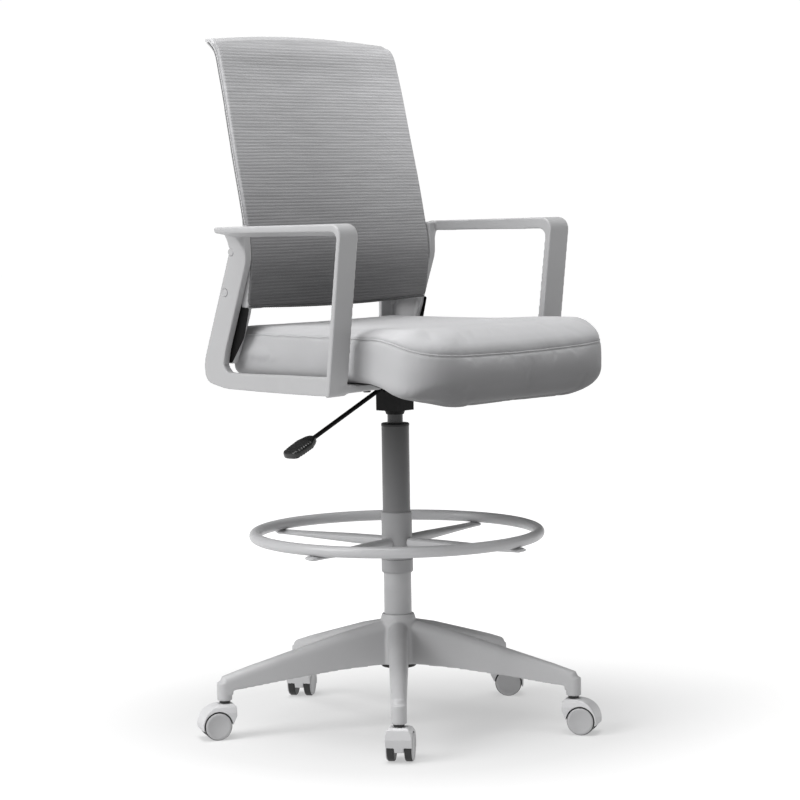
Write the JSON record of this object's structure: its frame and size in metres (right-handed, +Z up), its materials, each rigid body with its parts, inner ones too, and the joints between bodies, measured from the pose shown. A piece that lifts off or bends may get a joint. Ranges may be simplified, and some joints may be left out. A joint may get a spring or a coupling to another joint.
{
  "type": "drafting chair",
  "caption": "Tall swivel drafting chair with a mesh back, loop armrests, a foot ring and a wheeled star base.",
  "frame": {"origin": "on the floor, under the axis of the column", "axes": "+Z up; the chair faces -Y; +X is the sitter's left"},
  "size_m": [0.701, 0.7114, 1.2484],
  "materials": {
    "base_plastic": "moulded grey nylon, fine grain",
    "black_plastic": "black moulded plastic",
    "column_paint": "dark grey powder coat, paler towards the base",
    "bearing_steel": "ground steel",
    "bright_steel": "bright zinc-plated steel",
    "bump_rubber": "black rubber",
    "black_cylinder": "satin black cylinder",
    "ring_sleeve": "mid grey powder coat",
    "ring_paint": "light grey powder coat",
    "black_paint": "black powder coat",
    "grip_plastic": "glossy black moulding",
    "seat_fabric": "grey woven cover over moulded foam",
    "plywood": "bare moulded plywood",
    "black_bolts": "black oxide",
    "arm_plastic": "grey moulded plastic, fine grain",
    "frame_plastic": "grey moulded plastic, fine grain",
    "mesh_fabric": "ribbed grey mesh",
    "strip_fabric": "pale woven edge strip",
    "hood_plastic": "grey nylon",
    "wheel_nylon": "grey nylon wheel"
  },
  "bodies": {
    "base": {"base_star": "base_plastic", "hub_ring": "black_plastic", "column_tube": "column_paint", "column_bush": "black_plastic", "thrust_bearing": "bearing_steel", "caster_1_stem": "bright_steel", "caster_2_stem": "bright_steel", "caster_3_stem": "bright_steel", "caster_4_stem": "bright_steel", "caster_5_stem": "bright_steel"},
    "lift_rod": {"piston_rod": "bright_steel", "piston_head": "black_plastic", "thrust_race": "bearing_steel", "bump_stop": "bump_rubber", "rod_clip": "bearing_steel"},
    "seat": {"gas_cylinder": "black_cylinder", "mechanism_body": "black_paint", "seat_plate": "black_paint", "lever_pin": "bright_steel", "seat_cushion": "seat_fabric", "seat_board": "plywood", "under_cover": "black_plastic", "seat_bolts": "black_bolts", "arm_bolts": "black_bolts", "arm_screws": "black_bolts", "screw_plugs": "arm_plastic", "arm_left": "arm_plastic", "arm_right": "arm_plastic", "back_frame": "frame_plastic", "back_mesh": "mesh_fabric", "mesh_edge_strip": "strip_fabric", "lug_plates": "black_paint"},
    "lever": {"lever_rod": "black_paint", "lever_grip": "grip_plastic"},
    "valve": {"valve_pin": "bright_steel"},
    "ring_slider": {"ring_liner": "black_plastic"},
    "foot_ring": {"foot_ring": "ring_paint", "foot_ring_hub": "ring_sleeve", "foot_ring_spokes": "ring_paint"},
    "lock_collar": {"ring_lock_collar": "ring_sleeve"},
    "caster_1": {"caster_1_hood": "hood_plastic", "caster_1_axle": "bright_steel"},
    "caster_1_roller_left": {"caster_1_wheel_left": "wheel_nylon"},
    "caster_1_roller_right": {"caster_1_wheel_right": "wheel_nylon"},
    "caster_2": {"caster_2_hood": "hood_plastic", "caster_2_axle": "bright_steel"},
    "caster_2_roller_left": {"caster_2_wheel_left": "wheel_nylon"},
    "caster_2_roller_right": {"caster_2_wheel_right": "wheel_nylon"},
    "caster_3": {"caster_3_hood": "hood_plastic", "caster_3_axle": "bright_steel"},
    "caster_3_roller_left": {"caster_3_wheel_left": "wheel_nylon"},
    "caster_3_roller_right": {"caster_3_wheel_right": "wheel_nylon"},
    "caster_4": {"caster_4_hood": "hood_plastic", "caster_4_axle": "bright_steel"},
    "caster_4_roller_left": {"caster_4_wheel_left": "wheel_nylon"},
    "caster_4_roller_right": {"caster_4_wheel_right": "wheel_nylon"},
    "caster_5": {"caster_5_hood": "hood_plastic", "caster_5_axle": "bright_steel"},
    "caster_5_roller_left": {"caster_5_wheel_left": "wheel_nylon"},
    "caster_5_roller_right": {"caster_5_wheel_right": "wheel_nylon"}
  },
  "joints": [
    {"name": "seat_swivel", "type": "hinge", "parent": "base", "child": "lift_rod", "pos_m": [0, 0, 0.13], "axis": [0, 0, 1], "continuous": true},
    {"name": "seat_height", "type": "slide", "parent": "lift_rod", "child": "seat", "axis": [0, 0, 1], "range_m": [0, 0.2]},
    {"name": "height_lever", "type": "hinge", "parent": "seat", "child": "lever", "pos_m": [-0.02, 0, 0.6205], "axis": [0, 1, 0], "range_deg": [0, 8], "stiffness_Nm_per_rad": 2, "springref_deg": -20.05},
    {"name": "valve_press", "type": "slide", "parent": "seat", "child": "valve", "axis": [0, 0, 1], "range_m": [-0.004, 0]},
    {"name": "foot_ring_height", "type": "slide", "parent": "base", "child": "ring_slider", "axis": [0, 0, 1], "range_m": [-0.07, 0.145]},
    {"name": "foot_ring_turn", "type": "hinge", "parent": "ring_slider", "child": "foot_ring", "pos_m": [0, 0, 0.34], "axis": [0, 0, 1], "continuous": true},
    {"name": "ring_lock_turn", "type": "hinge", "parent": "ring_slider", "child": "lock_collar", "pos_m": [0, 0, 0.29], "axis": [0, 0, 1], "range_deg": [0, 120]},
    {"name": "caster_1_swivel", "type": "hinge", "parent": "base", "child": "caster_1", "pos_m": [0.32488, 0.027, 0.05], "axis": [0, 0, 1], "continuous": true},
    {"name": "caster_1_spin_left", "type": "hinge", "parent": "caster_1", "child": "caster_1_roller_left", "pos_m": [0.33535, 0.0136, 0.025], "axis": [0.788, 0.6157, 0], "continuous": true},
    {"name": "caster_1_spin_right", "type": "hinge", "parent": "caster_1", "child": "caster_1_roller_right", "pos_m": [0.33535, 0.0136, 0.025], "axis": [0.788, 0.6157, 0], "continuous": true},
    {"name": "caster_2_swivel", "type": "hinge", "parent": "base", "child": "caster_2", "pos_m": [0.07472, 0.31732, 0.05], "axis": [0, 0, 1], "continuous": true},
    {"name": "caster_2_spin_left", "type": "hinge", "parent": "caster_2", "child": "caster_2_roller_left", "pos_m": [0.08959, 0.32556, 0.025], "axis": [-0.4848, 0.8746, 0], "continuous": true},
    {"name": "caster_2_spin_right", "type": "hinge", "parent": "caster_2", "child": "caster_2_roller_right", "pos_m": [0.08959, 0.32556, 0.025], "axis": [-0.4848, 0.8746, 0], "continuous": true},
    {"name": "caster_3_swivel", "type": "hinge", "parent": "base", "child": "caster_3", "pos_m": [-0.2787, 0.16912, 0.05], "axis": [0, 0, 1], "continuous": true},
    {"name": "caster_3_spin_left", "type": "hinge", "parent": "caster_3", "child": "caster_3_roller_left", "pos_m": [-0.29327, 0.17788, 0.025], "axis": [-0.515, -0.8572, 0], "continuous": true},
    {"name": "caster_3_spin_right", "type": "hinge", "parent": "caster_3", "child": "caster_3_roller_right", "pos_m": [-0.29327, 0.17788, 0.025], "axis": [-0.515, -0.8572, 0], "continuous": true},
    {"name": "caster_4_swivel", "type": "hinge", "parent": "base", "child": "caster_4", "pos_m": [-0.24697, -0.2128, 0.05], "axis": [0, 0, 1], "continuous": true},
    {"name": "caster_4_spin_left", "type": "hinge", "parent": "caster_4", "child": "caster_4_roller_left", "pos_m": [-0.23271, -0.20354, 0.025], "axis": [-0.5446, 0.8387, 0], "continuous": true},
    {"name": "caster_4_spin_right", "type": "hinge", "parent": "caster_4", "child": "caster_4_roller_right", "pos_m": [-0.23271, -0.20354, 0.025], "axis": [-0.5446, 0.8387, 0], "continuous": true},
    {"name": "caster_5_swivel", "type": "hinge", "parent": "base", "child": "caster_5", "pos_m": [0.12607, -0.30064, 0.05], "axis": [0, 0, 1], "continuous": true},
    {"name": "caster_5_spin_left", "type": "hinge", "parent": "caster_5", "child": "caster_5_roller_left", "pos_m": [0.13271, -0.31629, 0.025], "axis": [0.9205, 0.3907, 0], "continuous": true},
    {"name": "caster_5_spin_right", "type": "hinge", "parent": "caster_5", "child": "caster_5_roller_right", "pos_m": [0.13271, -0.31629, 0.025], "axis": [0.9205, 0.3907, 0], "continuous": true}
  ],
  "couplings": [
    {"joint": "valve_press", "follows": "height_lever", "m_per_rad": -0.0225}
  ]
}
